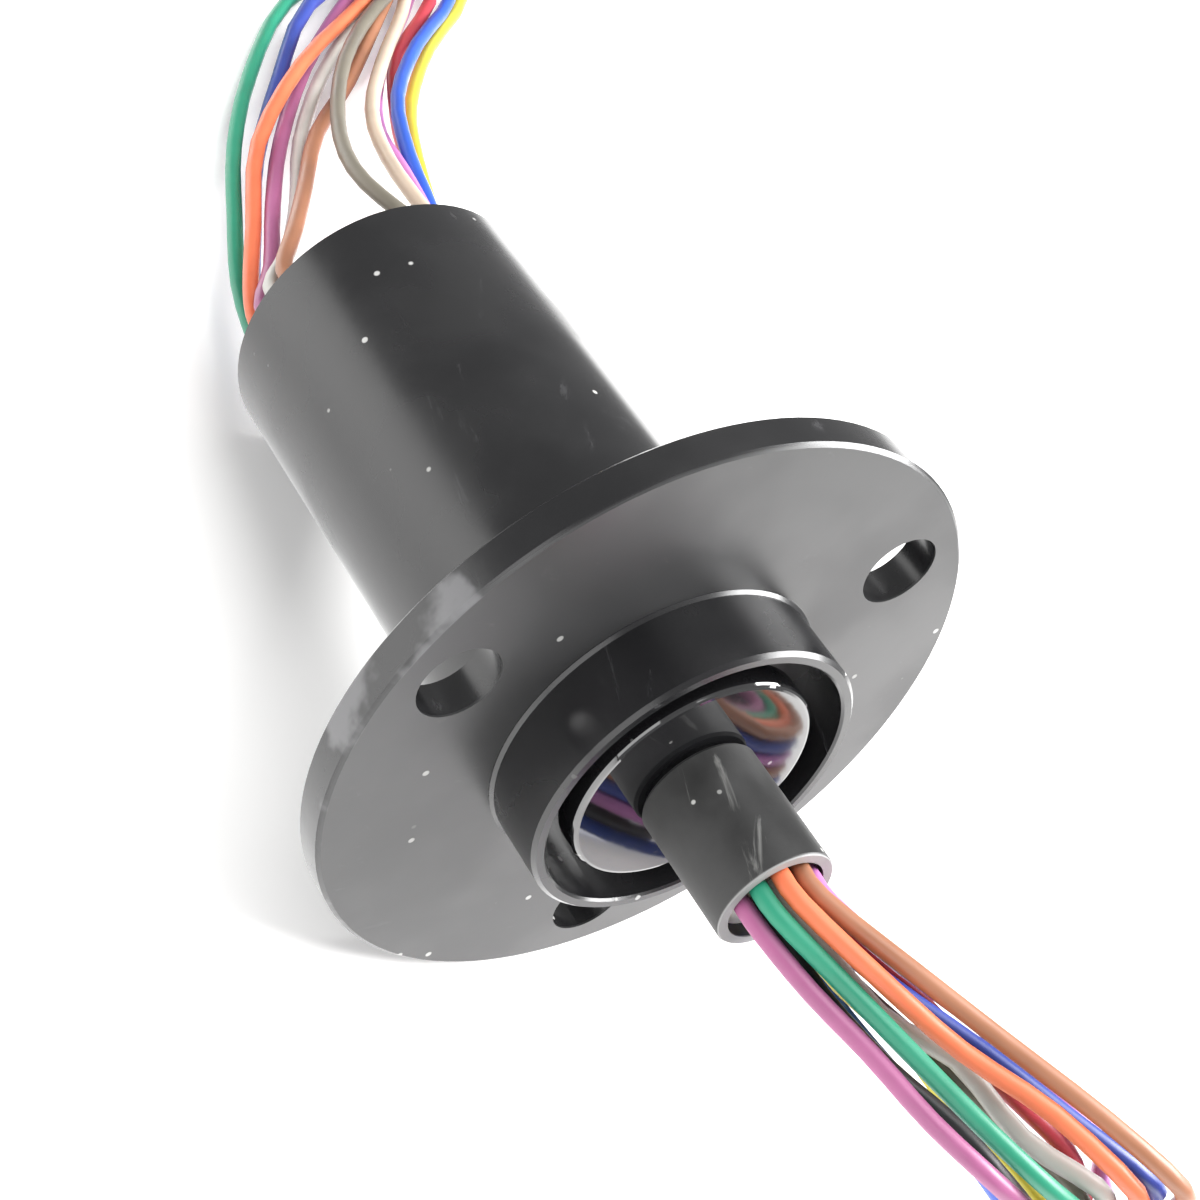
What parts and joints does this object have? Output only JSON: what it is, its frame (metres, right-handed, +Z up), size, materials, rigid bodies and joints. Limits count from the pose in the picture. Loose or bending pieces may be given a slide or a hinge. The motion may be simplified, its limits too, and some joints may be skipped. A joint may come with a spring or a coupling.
{
  "type": "slip ring",
  "caption": "Flanged black capsule slip ring with a hollow rotor stem and coloured leads leaving both ends.",
  "frame": {"origin": "On the bench, under the middle of the box round the housing and the stem", "axes": "+Z up; the spin axis lies in the XZ plane and rises towards +X, the stem end; the rear cap is towards -X"},
  "size_m": [0.189, 0.0817, 0.043],
  "materials": {
    "housing": "gloss",
    "moulding": "satin",
    "cap": "gloss",
    "steel": "polished",
    "cage": "satin",
    "gold": "polished",
    "board": "satin",
    "sleeve": "matte",
    "glue": "satin",
    "tie": "satin",
    "lead_violet": "satin",
    "lead_green": "satin",
    "lead_orange": "satin",
    "lead_brown": "satin",
    "lead_black": "satin",
    "lead_white": "satin",
    "lead_blue": "satin",
    "lead_grey": "satin",
    "lead_pink": "satin",
    "lead_red": "satin",
    "lead_yellow": "satin",
    "lead_pale_blue": "satin",
    "lead_beige": "satin"
  },
  "bodies": {
    "stator": {"housing": "housing", "front_outer_race": "steel", "rear_outer_race": "steel", "brush_frame": "moulding", "brush_board_a": "board", "brush_board_b": "board", "brush_wires_a": "gold", "brush_wires_b": "gold", "rear_cap": "moulding", "stator_lead_roots": "lead_grey", "rotor_lead_1": "lead_violet", "stator_lead_1": "lead_violet", "rotor_lead_2": "lead_green", "stator_lead_2": "lead_green", "rotor_lead_3": "lead_orange", "stator_lead_3": "lead_orange", "rotor_lead_4": "lead_brown", "stator_lead_4": "lead_brown", "rotor_lead_5": "lead_black", "stator_lead_5": "lead_beige", "rotor_lead_6": "lead_white", "stator_lead_6": "lead_white", "rotor_lead_7": "lead_blue", "stator_lead_7": "lead_blue", "rotor_lead_8": "lead_grey", "stator_lead_8": "lead_grey", "rotor_lead_9": "lead_pink", "stator_lead_9": "lead_pink", "rotor_lead_10": "lead_red", "stator_lead_10": "lead_red", "rotor_lead_11": "lead_yellow", "stator_lead_11": "lead_yellow", "rotor_lead_12": "lead_pale_blue", "stator_lead_12": "lead_pale_blue", "rotor_coil": "lead_grey", "stator_coil": "lead_grey", "rotor_tie": "tie", "stator_tie": "tie"},
    "rotor": {"rotor_core": "moulding", "rotor_cap": "cap", "stem_sleeve": "sleeve", "contact_rings": "gold", "ring_spacers": "moulding", "front_inner_race": "steel", "rear_inner_race": "steel", "rotor_clip": "steel", "stem_glue": "glue", "rotor_lead_roots": "lead_grey"},
    "front_ball_set": {"front_balls": "steel", "front_ball_cage": "cage"},
    "rear_ball_set": {"rear_balls": "steel", "rear_ball_cage": "cage"}
  },
  "joints": [
    {"name": "rotor_spin", "type": "hinge", "parent": "stator", "child": "rotor", "pos_m": [0.0104, 0, 0.02115], "axis": [0.9532, 0, 0.3022], "continuous": true},
    {"name": "front_balls_roll", "type": "hinge", "parent": "stator", "child": "front_ball_set", "pos_m": [0.01088, 0, 0.0213], "axis": [0.9532, 0, 0.3022], "continuous": true},
    {"name": "rear_balls_roll", "type": "hinge", "parent": "stator", "child": "rear_ball_set", "pos_m": [-0.01724, 0, 0.01239], "axis": [0.9532, 0, 0.3022], "continuous": true}
  ],
  "couplings": [
    {"joint": "front_balls_roll", "follows": "rotor_spin", "ratio": 0.4167},
    {"joint": "rear_balls_roll", "follows": "rotor_spin", "ratio": 0.4158}
  ]
}
